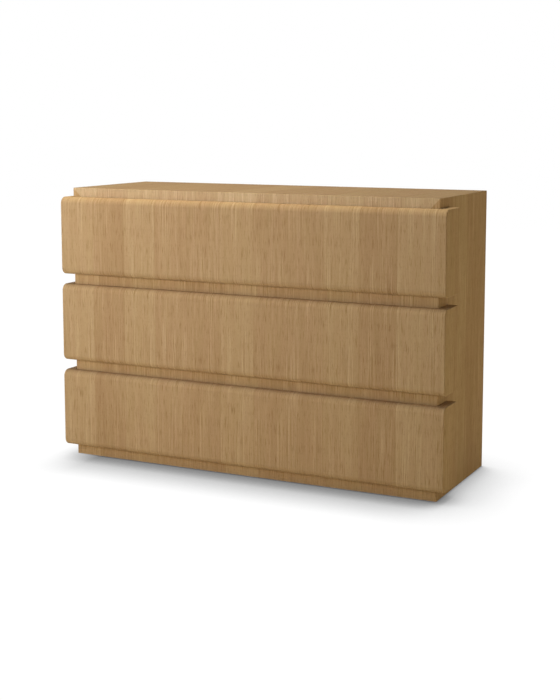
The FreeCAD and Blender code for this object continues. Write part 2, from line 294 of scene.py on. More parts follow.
def addGrain(tree, across, along, seed, wood):
    # bands, patches, lines and pores from 0 to 1, for wood whose grain runs along
    slow = addNode(tree, "ShaderNodeCombineXYZ", {2: seed}, {0: across, 1: along})
    drift = addNode(
        tree, "ShaderNodeTexNoise", {"Scale": grain["driftScale"], "Detail": 1.0}, {"Vector": slow}
    )
    shift = addNode(
        tree, "ShaderNodeMapRange", {"To Min": -wood["wander"], "To Max": wood["wander"]},
        {0: drift.outputs["Fac"]},
    )
    curved = addNode(tree, "ShaderNodeMath", {"operation": "ADD"}, {0: across, 1: shift})
    layers = {}
    for name, detail in grain["detail"].items():
        u = addNode(tree, "ShaderNodeMath", {"operation": "DIVIDE", 1: wood[f"{name}Width"]}, {0: curved})
        v = addNode(tree, "ShaderNodeMath", {"operation": "DIVIDE", 1: wood[f"{name}Length"]}, {0: along})
        place = addNode(tree, "ShaderNodeCombineXYZ", {2: seed + len(layers)}, {0: u, 1: v})
        layers[name] = addNode(
            tree, "ShaderNodeTexNoise", {"Scale": 1.0, "Detail": detail, "Roughness": grain["roughness"]},
            {"Vector": place},
        ).outputs["Fac"]
    # lines stand out in some bands and nearly vanish in others
    quietBand, busyBand = grain["busyBands"]
    faint, strong = grain["busyLines"]
    busy = addNode(
        tree, "ShaderNodeMapRange", {1: quietBand, 2: busyBand, 3: faint, 4: strong}, {0: layers["band"]}
    )
    mean = grain["mean"]
    centred = addNode(tree, "ShaderNodeMath", {"operation": "SUBTRACT", 1: mean}, {0: layers["line"]})
    darker = addNode(tree, "ShaderNodeMath", {"operation": "MINIMUM", 1: wood["lineGlow"]}, {0: centred})
    drawn = addNode(tree, "ShaderNodeMath", {"operation": "MULTIPLY_ADD", 2: mean}, {0: darker, 1: busy})
    low, high = grain["strandEdge"]
    dark = addNode(
        tree, "ShaderNodeMapRange", {1: low, 2: high, 4: wood["strandDepth"]}, {0: layers["strand"]}
    )
    lines = addNode(tree, "ShaderNodeMath", {"operation": "SUBTRACT"}, {0: drawn, 1: dark})
    low, high = grain["poreEdge"]
    pores = addNode(tree, "ShaderNodeMapRange", {1: low, 2: high}, {0: layers["pore"]})
    return layers["band"], layers["patch"], lines, pores


def addTone(tree, tone, layers):
    # each layer moves the tone up or down by its strength
    for layer, strength in layers:
        centred = addNode(tree, "ShaderNodeMath", {"operation": "SUBTRACT", 1: grain["mean"]}, {0: layer})
        tone = addNode(
            tree, "ShaderNodeMath", {"operation": "MULTIPLY_ADD", 1: strength}, {0: centred, 2: tone}
        )
    return tone


def addWoodColour(tree, tone, wood):
    ramp = addNode(tree, "ShaderNodeValToRGB", {}, {0: tone})
    first, last = ramp.color_ramp.elements
    first.position = grain["stops"]["deep"]
    first.color = toLinear(wood["deep"])
    last.position = grain["stops"]["pale"]
    last.color = toLinear(wood["pale"])
    ramp.color_ramp.elements.new(grain["stops"]["middle"]).color = toLinear(wood["middle"])
    return ramp


def finishWood(tree, shader, colour, lines, pores, wood):
    # darker pores, a relief of pores and lines, and a sheen that the pores break up
    faint = addNode(tree, "ShaderNodeMath", {"operation": "MULTIPLY", 1: wood["poreDepth"]}, {0: pores})
    spotted = addNode(
        tree, "ShaderNodeMix", {"data_type": "RGBA", 7: toLinear(wood["pore"])}, {0: faint, 6: colour}
    )
    height = addNode(tree, "ShaderNodeMath", {"operation": "MULTIPLY_ADD", 1: -1.0}, {0: pores, 2: lines})
    bump = addNode(
        tree, "ShaderNodeBump", {"Strength": grain["reliefStrength"], "Distance": grain["reliefDepth"]},
        {"Height": height},
    )
    duller = wood["roughness"] + grain["poreDullness"]
    dull = addNode(tree, "ShaderNodeMapRange", {3: wood["roughness"], 4: duller}, {0: pores})
    feed(tree, shader, {
        "Base Color": spotted.outputs[2], "Roughness": dull, "Normal": bump,
        "IOR": grain["ior"], "Specular IOR Level": wood["gloss"],
    })


def addFacing(tree):
    # object coordinates, and for each axis 1 where a surface faces along it
    coordinates = addNode(tree, "ShaderNodeTexCoord").outputs
    place = addNode(tree, "ShaderNodeSeparateXYZ", {}, {0: coordinates["Object"]})
    square = addNode(tree, "ShaderNodeVectorMath", {"operation": "ABSOLUTE"}, {0: coordinates["Normal"]})
    facing = addNode(tree, "ShaderNodeSeparateXYZ", {}, {0: square})
    turned = {
        axis: addNode(tree, "ShaderNodeMath", {"operation": "GREATER_THAN", 1: grain["facing"]}, {0: cosine})
        for axis, cosine in zip("xyz", facing.outputs)
    }
    return dict(zip("xyz", place.outputs)), turned


# Oak: sliced veneer laid up in upright leaves, oiled

oak = {
    "leafWidth": 0.1075,
    "leafStart": -0.495,  # a joint between two leaves
    "leafJump": 3.7,  # how far apart the leaves lay in the log, so that no grain runs on
    "middleLeaf": 4.0,
    "leafRun": 3.0,  # counted from the middle leaf, every third one is pale and yellow
    "endLeaf": 5.0,  # and so is the last one at each end
    "seamWidth": 0.0012,  # a tight joint, drawn coarser so that it shows
    "bandWidth": 0.02,
    "bandLength": 0.45,
    "patchWidth": 0.034,
    "patchLength": 0.16,
    "lineWidth": 0.0019,
    "lineLength": 0.22,
    "lineGlow": 0.07,  # pale lines stand out less than dark ones
    "strandWidth": 0.0019,  # single dark flecks
    "strandLength": 0.045,
    "strandDepth": 0.35,
    "poreWidth": 0.0013,  # real pores are 0.3 mm wide, drawn coarser so that they show
    "poreLength": 0.010,
    "poreDepth": 0.35,
    "wander": 0.004,
    "tone": 0.46,  # from 0, deep, to 1, pale
    "paleRise": 0.08,  # how much paler the pale leaves are
    "leafSpread": 0.09,  # and how much any leaf differs from the next
    "bandStrength": 0.50,
    "lineStrength": 1.4,
    "paleLean": 0.22,  # of the pale leaves towards yellow
    "leanRange": (0.25, 0.75),
    "hueSpread": 0.003,
    "deep": "#9A7850",
    "middle": "#B5946D",
    "pale": "#C7A983",
    "pore": "#7E5C38",
    "roughness": 0.74,
    "gloss": 0.09,
}
veneers = {  # the seed picks the leaves; front-facing and level surfaces get painted light or shade, paler or darker for how the lamps fall
    "faces": {"name": "oakVeneerOnFaces", "mapped": True, "seed": 4.0, "seamDepth": 0.35},
    "carcass": {
        "name": "oakVeneerOnCarcass", "mapped": False, "seed": 11.0, "seamDepth": 0.5,
        # painted light: front-facing surfaces a little warmer and less blue
        "paintedFrontLight": (1.04, 1.01, 0.92), "paintedLevelShade": 1.0,
    },
    "top": {  # painted light makes its front edge paler, and painted shade makes its level top darker
        "name": "oakVeneerOnTop", "mapped": False, "seed": 11.0, "seamDepth": 0.5,
        "paintedFrontLight": (1.23, 1.32, 1.45), "paintedLevelShade": 0.69,
    },
}


def addLeaves(tree, across, seed):
    # how many leaves in a point lies, the chance of its leaf, and 1 in the pale ones
    ahead = addNode(tree, "ShaderNodeMath", {"operation": "SUBTRACT", 1: oak["leafStart"]}, {0: across})
    inLeaves = addNode(tree, "ShaderNodeMath", {"operation": "DIVIDE", 1: oak["leafWidth"]}, {0: ahead})
    number = addNode(tree, "ShaderNodeMath", {"operation": "FLOOR"}, {0: inLeaves})
    seeded = addNode(tree, "ShaderNodeMath", {"operation": "ADD", 1: seed}, {0: number})
    drawn = addNode(tree, "ShaderNodeTexWhiteNoise", {"noise_dimensions": "1D"}, {"W": seeded})
    # the leaves are laid out from the middle one to both ends
    ahead = addNode(tree, "ShaderNodeMath", {"operation": "SUBTRACT", 1: oak["middleLeaf"]}, {0: number})
    steps = addNode(tree, "ShaderNodeMath", {"operation": "ABSOLUTE"}, {0: ahead})
    turn = addNode(tree, "ShaderNodeMath", {"operation": "MODULO", 1: oak["leafRun"]}, {0: steps})
    near = 0.1
    inRun, atEnd = (
        addNode(tree, "ShaderNodeMath", {"operation": "COMPARE", 1: wanted, 2: near}, {0: count})
        for count, wanted in ((turn, 0.0), (steps, oak["endLeaf"]))
    )
    paleLeaf = addNode(tree, "ShaderNodeMath", {"operation": "MAXIMUM"}, {0: inRun, 1: atEnd})
    return inLeaves, drawn.outputs["Value"], paleLeaf


def makeVeneer(look):
    # straight-grained oak, oiled: nearly matt, with fine upright lines and open pores
    material, tree, shader = newMaterial(look["name"])
    if look["mapped"]:
        place = addNode(tree, "ShaderNodeUVMap", {"uv_map": "veneer"})
        split = addNode(tree, "ShaderNodeSeparateXYZ", {}, {0: place}).outputs
        across, along = split[0], split[1]
    else:
        # boards on the axes: the grain is upright, and front to back on level surfaces
        place, turned = addFacing(tree)
        across = addNode(tree, "ShaderNodeMix", {}, {0: turned["x"], 2: place["x"], 3: place["y"]})
        along = addNode(tree, "ShaderNodeMix", {}, {0: turned["z"], 2: place["z"], 3: place["y"]})

    inLeaves, chance, paleLeaf = addLeaves(tree, across, look["seed"])
    jump = addNode(tree, "ShaderNodeMath", {"operation": "MULTIPLY", 1: oak["leafJump"]}, {0: chance})
    inLog = addNode(tree, "ShaderNodeMath", {"operation": "ADD"}, {0: across, 1: jump})
    bands, patches, lines, pores = addGrain(tree, inLog, along, look["seed"], oak)
    start = addNode(
        tree, "ShaderNodeMath", {"operation": "MULTIPLY_ADD", 1: oak["paleRise"], 2: oak["tone"]},
        {0: paleLeaf},
    )
    layers = (chance, oak["leafSpread"]), (bands, oak["bandStrength"]), (lines, oak["lineStrength"])
    colour = addWoodColour(tree, addTone(tree, start, layers), oak)

    # the pale leaves and some patches lean to yellow, the others to pink
    lean = addTone(tree, patches, ((paleLeaf, oak["paleLean"]),))
    pink, yellow = oak["leanRange"]
    unchanged = 0.5
    hue = addNode(
        tree, "ShaderNodeMapRange",
        {1: pink, 2: yellow, 3: unchanged - oak["hueSpread"], 4: unchanged + oak["hueSpread"]}, {0: lean},
    )
    tinted = addNode(tree, "ShaderNodeHueSaturation", {}, {"Hue": hue, "Color": colour})

    # thin dark joints between the leaves
    fromSeam = addNode(tree, "ShaderNodeMath", {"operation": "PINGPONG", 1: 0.5}, {0: inLeaves})
    seamShare = oak["seamWidth"] / oak["leafWidth"] / 2
    seam = addNode(
        tree, "ShaderNodeMapRange", {1: seamShare, 2: seamShare * 2, 3: look["seamDepth"], 4: 0.0},
        {0: fromSeam},
    )
    joined = addNode(
        tree, "ShaderNodeMix", {"data_type": "RGBA", 7: toLinear(oak["deep"])}, {0: seam, 6: tinted}
    )
    colour = joined.outputs[2]
    # painted light and shade: front-facing surfaces are tinted and level ones darkened for how the lamps fall
    # on them
    if not look["mapped"]:
        paintedFront = addNode(
            tree, "ShaderNodeMix", {"data_type": "VECTOR", 4: (1.0, 1.0, 1.0), 5: look["paintedFrontLight"]},
            {0: turned["y"]},
        )
        level = addNode(tree, "ShaderNodeMix", {2: 1.0, 3: look["paintedLevelShade"]}, {0: turned["z"]})
        shaded = addNode(
            tree, "ShaderNodeVectorMath", {"operation": "MULTIPLY"}, {0: colour, 1: paintedFront.outputs[1]}
        )
        colour = addNode(tree, "ShaderNodeVectorMath", {"operation": "SCALE"}, {0: shaded, "Scale": level})
    finishWood(tree, shader, colour, lines, pores, oak)
    return material


# Birch of the drawer boxes, and plywood: pale, even, with faint bands

birch = {
    "bandWidth": 0.024,
    "bandLength": 0.5,
    "patchWidth": 0.05,
    "patchLength": 0.3,
    "lineWidth": 0.0035,
    "lineLength": 0.14,
    "lineGlow": 0.2,
    "strandWidth": 0.005,
    "strandLength": 0.2,
    "strandDepth": 0.1,
    "poreWidth": 0.0009,  # real pores are 0.1 mm wide, drawn coarser so that they show
    "poreLength": 0.005,
    "poreDepth": 0.22,
    "wander": 0.012,
    "bandStrength": 0.7,
    "lineStrength": 0.6,
    "ringWidth": 0.0022,
    "ringBend": 0.25,
    "ringDepth": 0.5,
    "deep": "#BE9863",
    "middle": "#D2B07E",
    "pale": "#DFC497",
    "pore": "#9E7A4B",
    "roughness": 0.55,
    "gloss": 0.3,
}
plyLayers = {"plyWidth": 0.0015, "plyDepth": 0.9}
birchPly = dict(
    birch, **plyLayers, bandWidth=0.045, bandLength=0.25, lineWidth=0.006, lineLength=0.1, wander=0.03,
)
backPly = dict(
    oak, **plyLayers, bandWidth=0.022, bandLength=0.8, patchWidth=0.13, patchLength=1.1, lineWidth=0.004,
    lineLength=0.16, poreLength=0.008, wander=0.06, bandStrength=0.7, lineStrength=0.6,
)
boards = {  # the axis of the grain and, of plywood, the axis across its layers
    "back": {"name": "backPlywood", "wood": backPly, "seed": 21.0, "grain": "z", "layers": "y"},
    "boxSides": {"name": "planedBirchFrontToBack", "wood": birch, "seed": 31.0, "grain": "y"},
    "boxEnds": {"name": "planedBirchAcross", "wood": birch, "seed": 41.0, "grain": "x"},
    "boxBottoms": {"name": "birchPlywood", "wood": birchPly, "seed": 51.0, "grain": "x", "layers": "z"},
}


def makeBoard(look):
    # planed birch: creamy and close-grained, rings on the ends
    # plywood: wide rotary-cut figure, layers on its edges
    wood = look["wood"]
    material, tree, shader = newMaterial(look["name"])
    place, turned = addFacing(tree)
    first, second = (place[axis] for axis in "xyz" if axis != look["grain"])
    across = addNode(tree, "ShaderNodeMath", {"operation": "ADD"}, {0: first, 1: second})
    bands, patches, lines, pores = addGrain(tree, across, place[look["grain"]], look["seed"], wood)
    tone = addTone(tree, patches, ((bands, wood["bandStrength"]), (lines, wood["lineStrength"])))
    if "layers" in look:
        inward, flat = place[look["layers"]], turned[look["layers"]]
        edge = addNode(tree, "ShaderNodeMath", {"operation": "SUBTRACT", 0: 1.0}, {1: flat})
        period, depth = wood["plyWidth"], wood["plyDepth"]
    else:
        # on the ends the rings show as short arcs across the board
        bent = addNode(tree, "ShaderNodeMath", {"operation": "MULTIPLY", 1: wood["ringBend"]}, {0: second})
        inward = addNode(tree, "ShaderNodeMath", {"operation": "ADD"}, {0: first, 1: bent})
        edge = turned[look["grain"]]
        period, depth = wood["ringWidth"], wood["ringDepth"]
    wave = addNode(tree, "ShaderNodeMath", {"operation": "PINGPONG", 1: period}, {0: inward})
    mean = grain["mean"]
    layers = addNode(
        tree, "ShaderNodeMapRange", {2: period, 3: mean - depth / 2, 4: mean + depth / 2}, {0: wave}
    )
    shown = addNode(tree, "ShaderNodeMix", {}, {0: edge, 2: tone, 3: layers})
    finishWood(tree, shader, addWoodColour(tree, shown, wood), lines, pores, wood)
    return material


# Drawer faces: a thick board with rounded long edges, wrapped round the sides in two short mitred returns

wrappedFace = {
    "longEdge": 0.020,
    "uprightEdge": 0.003,
    "arcSteps": 12,
    "uprightSteps": 4,
    "pocketMargin": 0.01,  # by which the tool that hollows it stands out
    "cutTolerance": 1e-7,
}
shading = {"sharpFrom": 32, "faceWeight": 100}  # degrees, and how much large faces count


def wrappedBlank(name, low, high):
    # face and returns in one, from the corners of the three nodes
    size = wrappedFace
    r = size["longEdge"]
    quarter = [math.pi / 2 * n / size["arcSteps"] for n in range(size["arcSteps"] + 1)]
    outline = [(low.y + r * (1 - math.cos(a)), high.z - r * (1 - math.sin(a))) for a in quarter]
    outline += [(high.y, high.z), (high.y, low.z)]
    outline += [(y, low.z + high.z - z) for y, z in reversed(outline[:-2])]
    shape = bmesh.new()
    rings = [[shape.verts.new((x, y, z)) for y, z in outline] for x in (low.x, high.x)]
    shape.faces.new(rings[0])
    shape.faces.new(list(reversed(rings[1])))
    for n in range(len(outline)):
        shape.faces.new([rings[0][n], rings[0][n - 1], rings[1][n - 1], rings[1][n]])
    bmesh.ops.recalc_face_normals(shape, faces=shape.faces)
    ends = [e for e in shape.edges if abs(e.verts[0].co.x - e.verts[1].co.x) < nothing]
    bmesh.ops.bevel(
        shape, geom=ends, offset=size["uprightEdge"], segments=size["uprightSteps"], profile=0.5,
        affect="EDGES",
    )
    mesh = bpy.data.meshes.new(name)
    shape.to_mesh(mesh)
    shape.free()
    return newObject(name, mesh)


def pocketBlock(low, high):
    mesh = bpy.data.meshes.new("pocket")
    shape = bmesh.new()
    bmesh.ops.create_cube(shape, size=1.0)
    for corner in shape.verts:
        corner.co = [low[n] + (corner.co[n] + 0.5) * (high[n] - low[n]) for n in range(3)]
    shape.to_mesh(mesh)
    shape.free()
    return newObject("pocket", mesh)


def cutOff(piece, point, normal):
    # keeps what lies behind the plane and closes the cut
    shape = bmesh.new()
    shape.from_mesh(piece.data)
    bmesh.ops.bisect_plane(
        shape, geom=shape.verts[:] + shape.edges[:] + shape.faces[:], dist=wrappedFace["cutTolerance"],
        plane_co=point, plane_no=normal, clear_outer=True,
    )
    bmesh.ops.holes_fill(shape, edges=[e for e in shape.edges if e.is_boundary])
    shape.to_mesh(piece.data)
    shape.free()


def mapVeneer(mesh, low, high):
    # the grain stays upright over the rounded edges and goes on round the corners, in metres
    layer = mesh.uv_layers.new(name="veneer")
    r = wrappedFace["longEdge"]
    middle, half = (low.z + high.z) / 2, (high.z - low.z) / 2
    for polygon in mesh.polygons:
        sideways = abs(polygon.normal.x) > grain["facing"]
        for loop in polygon.loop_indices:
            x, y, z = mesh.vertices[mesh.loops[loop].vertex_index].co
            if sideways:
                u, v = math.copysign(high.x + y - low.y, x), z
            else:
                u, v = x, z
                reach = y - low.y
                past = max(0.0, abs(z - middle) - half + r)
                if past > 0:
                    turn = math.atan2(past, max(0.0, r - reach))
                    grown = r * turn + max(0.0, reach - r)
                    v = z + math.copysign(grown - past, z - middle)
            layer.data[loop].uv = (u, v)


def smoothShading(piece):
    piece.data.shade_smooth()
    piece.data.set_sharp_from_angle(angle=math.radians(shading["sharpFrom"]))
    weighted = piece.modifiers.new("weighted", "WEIGHTED_NORMAL")
    weighted.keep_sharp = True
    weighted.weight = shading["faceWeight"]
    settle(piece)


def makeFaces(material):
    margin = wrappedFace["pocketMargin"]
    for drawer in drawers:
        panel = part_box(f"{drawer}_face")
        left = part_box(f"{drawer}_return_left")
        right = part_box(f"{drawer}_return_right")
        low = Vector((left[0].x, panel[0].y, panel[0].z))
        high = Vector((right[1].x, right[1].y, panel[1].z))
        blank = wrappedBlank(f"{drawer}_blank", low, high)
        wall = panel[1].y - panel[0].y
        pocket = pocketBlock(
            (low.x + wall, low.y + wall, low.z - margin), (high.x - wall, high.y + margin, high.z + margin)
        )
        hollow = blank.modifiers.new("hollow", "BOOLEAN")
        hollow.operation = "DIFFERENCE"
        hollow.solver = "EXACT"
        hollow.object = pocket
        settle(blank)
        bpy.data.objects.remove(pocket, do_unlink=True)
        rightInner = Vector((high.x - wall, low.y + wall, 0))
        leftInner = Vector((low.x + wall, low.y + wall, 0))
        middle = Vector((0, 0, 0))
        cuts = {  # planes that the piece lies behind
            "face": ((rightInner, (1, 1, 0)), (leftInner, (-1, 1, 0))),
            "return_right": ((rightInner, (-1, -1, 0)), (middle, (-1, 0, 0))),
            "return_left": ((leftInner, (1, -1, 0)), (middle, (1, 0, 0))),
        }
        for part, planes in cuts.items():
            piece = newObject(f"{drawer}_{part}_veneered", blank.data.copy())
            for point, normal in planes:
                cutOff(piece, point, normal)
            mapVeneer(piece.data, low, high)
            smoothShading(piece)
            piece.data.materials.clear()
            piece.data.materials.append(material)
            fit(piece, drawer, "oak_veneer", f"{drawer}_{part}")
        bpy.data.objects.remove(blank, do_unlink=True)
    print("drawer faces made")


# Metal and plastic of the small parts

zincPlate = {
    "colour": "#B4B8BD",
    "clouds": "#9EA3AA",
    "cloudScale": 90.0,  # clouds of 11 mm
    "cloudDetail": 3.0,
    "rollingWidth": 0.0004,  # real lines are finer, drawn coarser so that they show
    "rollingLength": 0.03,
    "rollingDetail": 2.0,
    "roughness": (0.28, 0.46),
    "reliefStrength": 0.1,
    "reliefDepth": 0.0001,
}
plastics = {
    "glides": {"name": "mouldedNylon", "colour": "#1B1B1D", "roughness": 0.5, "clearness": 0.0},
    "dots": {"name": "clearSoftPlastic", "colour": "#E4E4DE", "roughness": 0.3, "clearness": 0.6},
}
mouldGrit = {
    "width": 0.0004,  # real grit is finer, drawn coarser so that it shows
    "darkest": 0.92,
    "roughnessSpread": 0.06,
    "reliefStrength": 0.2,
    "reliefDepth": 0.0001,
    "ior": 1.5,
}


def makeZinc():
    # zinc-plated rolled steel: bluish grey, softly bright, cloudy, with faint lines along the rolling
    look = zincPlate
    material, tree, shader = newMaterial("zincPlatedSteel")
    place = addNode(tree, "ShaderNodeTexCoord").outputs["Object"]
    width, length = look["rollingWidth"], look["rollingLength"]
    stretch = (1 / width, 1 / length, 1 / width)
    fine = addNode(tree, "ShaderNodeVectorMath", {"operation": "MULTIPLY", 1: stretch}, {0: place})
    lines = addNode(
        tree, "ShaderNodeTexNoise", {"Scale": 1.0, "Detail": look["rollingDetail"]}, {"Vector": fine}
    ).outputs["Fac"]
    clouds = addNode(
        tree, "ShaderNodeTexNoise", {"Scale": look["cloudScale"], "Detail": look["cloudDetail"]},
        {"Vector": place},
    ).outputs["Fac"]
    colour = addNode(
        tree, "ShaderNodeMix",
        {"data_type": "RGBA", 6: toLinear(look["colour"]), 7: toLinear(look["clouds"])}, {0: clouds},
    )
    bright, dullest = look["roughness"]
    dull = addNode(tree, "ShaderNodeMapRange", {3: bright, 4: dullest}, {0: lines})
    bump = addNode(
        tree, "ShaderNodeBump", {"Strength": look["reliefStrength"], "Distance": look["reliefDepth"]},
        {"Height": lines},
    )
    feed(tree, shader, {"Base Color": colour.outputs[2], "Roughness": dull, "Normal": bump, "Metallic": 1.0})
    return material


def makePlastic(look):
    # moulded plastic with a fine spark-eroded texture; the clear one lets some light through
    grit = mouldGrit
    material, tree, shader = newMaterial(look["name"])
    place = addNode(tree, "ShaderNodeTexCoord").outputs["Object"]
    grains = addNode(
        tree, "ShaderNodeTexNoise", {"Scale": 1 / grit["width"], "Detail": 1.0}, {"Vector": place}
    ).outputs["Fac"]
    shade = addNode(tree, "ShaderNodeMapRange", {3: grit["darkest"], 4: 1.0}, {0: grains})
    colour = toLinear(look["colour"])[:3]
    tinted = addNode(tree, "ShaderNodeVectorMath", {"operation": "SCALE", 0: colour}, {"Scale": shade})
    roughness, spread = look["roughness"], grit["roughnessSpread"]
    dull = addNode(tree, "ShaderNodeMapRange", {3: roughness - spread, 4: roughness + spread}, {0: grains})
    bump = addNode(
        tree, "ShaderNodeBump", {"Strength": grit["reliefStrength"], "Distance": grit["reliefDepth"]},
        {"Height": grains},
    )
    feed(tree, shader, {
        "Base Color": tinted, "Roughness": dull, "Normal": bump,
        "IOR": grit["ior"], "Transmission Weight": look["clearness"],
    })
    return material


# Small parts that repeat: each is built once in its own tree of Geometry Nodes and set on all its places

screws = {
    "pan": {
        "Head Radius": 0.0045, "Head Height": 0.0025, "Roundness": 2.6,
        "Shank Radius": 0.002, "Length": 0.0315,
    },
    "flat": {
        "Head Radius": 0.004, "Head Height": 0.003, "Countersunk": True,
        "Shank Radius": 0.002, "Length": 0.033,
    },
    "low": {
        "Head Radius": 0.0032, "Head Height": 0.0009, "Roundness": 3.5,
        "Shank Radius": 0.0017, "Length": 0.0129,
    },
    "headSides": 28,
    "shankSides": 14,
    "overlap": 0.0003,  # of the shank with head and point
    "threadPitch": 0.0017,
    "threadSteps": 10,  # in one turn
    "threadSides": 3,
    "coreShare": 0.72,
    "pointLength": 0.003,
    "tipRadius": 0.0003,
    "recessWidth": 0.0009,
    "recessReach": 0.0042,
    "recessDepth": 0.0012,
    "seed": 7,  # each screw was driven to its own angle
}
dome = {
    "rings": 12,
    "share": 0.97,  # the last ring stays open for a flat middle
}
pads = {
    "sides": 32,
    "glide": {"Radius": 0.010, "Height": 0.001, "Roundness": 6.0},
    "dot": {"Radius": 0.005, "Height": 0.0027, "Roundness": 2.2},
}
retainers = {
    "sizes": {
        "Strip Length": 0.165, "Strip Width": 0.0060, "Strip Height": 0.0012, "Ball Radius": 0.0021,
        "Ball Pitch": 0.0085,
    },
    "cornerShare": 0.4,  # of the strip's thickness
    "cornerSteps": 3,
    "ballSegments": 8,
    "ballRings": 6,
}
towardsBack = (-math.pi / 2, 0, 0)  # turns the outer end of a small part from +Z
towardsFront = (math.pi / 2, 0, 0)
towardsFloor = (math.pi, 0, 0)
towardsSide = {"left": (0, -math.pi / 2, 0), "right": (0, math.pi / 2, 0)}


def newTree(name, sizes):
    # an input for the places, one for each size, and the tree's own inlet node
    tree = bpy.data.node_groups.new(name, "GeometryNodeTree")
    tree.interface.new_socket("Places", in_out="INPUT", socket_type="NodeSocketGeometry")
    for title, value in sizes.items():
        kind = {bool: "NodeSocketBool", int: "NodeSocketInt", float: "NodeSocketFloat"}[type(value)]
        tree.interface.new_socket(title, in_out="INPUT", socket_type=kind).default_value = value
    tree.interface.new_socket("Turn", in_out="INPUT", socket_type="NodeSocketVector")
    tree.interface.new_socket("Material", in_out="INPUT", socket_type="NodeSocketMaterial")
    tree.interface.new_socket("Geometry", in_out="OUTPUT", socket_type="NodeSocketGeometry")
    return tree, addNode(tree, "NodeGroupInput").outputs


def lifted(tree, mesh, share, height):
    # the mesh, moved up by a share of a height
    rise = addNode(tree, "ShaderNodeMath", {"operation": "MULTIPLY", 1: share}, {0: height})
    upwards = addNode(tree, "ShaderNodeCombineXYZ", {}, {2: rise})
    return addNode(tree, "GeometryNodeTransform", {}, {0: mesh, 1: upwards})


def addDome(tree, radius, height, roundness, sides):
    # a disc that stands on the origin, from a plain dome at roundness 2 to a flat pad with a round rim at 6
    line = addNode(tree, "GeometryNodeCurvePrimitiveLine", {1: (0, 0, 1)})
    steps = addNode(tree, "GeometryNodeResampleCurve", {2: dome["rings"]}, {0: line})
    share = addNode(tree, "GeometryNodeSplineParameter").outputs["Factor"]
    top = dome["share"] * math.pi / 2
    angle = addNode(tree, "ShaderNodeMath", {"operation": "MULTIPLY", 1: top}, {0: share})
    rise = addNode(tree, "ShaderNodeMath", {"operation": "SINE"}, {0: angle})
    powered = addNode(tree, "ShaderNodeMath", {"operation": "POWER"}, {0: rise, 1: roundness})
    left = addNode(tree, "ShaderNodeMath", {"operation": "SUBTRACT"}, {0: 1.0, 1: powered})
    root = addNode(tree, "ShaderNodeMath", {"operation": "DIVIDE"}, {0: 1.0, 1: roundness})
    fall = addNode(tree, "ShaderNodeMath", {"operation": "POWER"}, {0: left, 1: root})
    whole = addNode(tree, "ShaderNodeMath", {"operation": "DIVIDE", 1: math.sin(top)}, {0: rise})
    up = addNode(tree, "ShaderNodeMath", {"operation": "MULTIPLY"}, {0: whole, 1: height})
    place = addNode(tree, "ShaderNodeCombineXYZ", {}, {2: up})
    spine = addNode(tree, "GeometryNodeSetPosition", {}, {0: steps, 2: place})
    ring = addNode(tree, "GeometryNodeCurvePrimitiveCircle", {0: sides, "Radius": 1.0})
    size = addNode(tree, "ShaderNodeMath", {"operation": "MULTIPLY"}, {0: fall, 1: radius})
    return addNode(tree, "GeometryNodeCurveToMesh", {"Fill Caps": True}, {0: spine, 1: ring, "Scale": size})


def closeTree(tree, inlet, unit, seed=None):
    # the unit on every place, turned outwards, then one plain mesh in one material
    turn = addNode(tree, "FunctionNodeEulerToRotation", {}, {0: inlet["Turn"]})
    placed = addNode(
        tree, "GeometryNodeInstanceOnPoints", {},
        {"Points": inlet["Places"], "Instance": unit, "Rotation": turn},
    )
    if seed is not None:
        angle = addNode(
            tree, "FunctionNodeRandomValue", {"data_type": "FLOAT", 2: 0.0, 3: math.pi, "Seed": seed}
        ).outputs[1]
        spin = addNode(tree, "ShaderNodeCombineXYZ", {}, {2: angle})
        turned = addNode(tree, "FunctionNodeEulerToRotation", {}, {0: spin})
        placed = addNode(
            tree, "GeometryNodeRotateInstances", {"Local Space": True}, {0: placed, "Rotation": turned}
        )
    real = addNode(tree, "GeometryNodeRealizeInstances", {}, {0: placed})
    painted = addNode(tree, "GeometryNodeSetMaterial", {}, {"Geometry": real, "Material": inlet["Material"]})
    addNode(tree, "NodeGroupOutput", {}, {0: painted})
    return tree


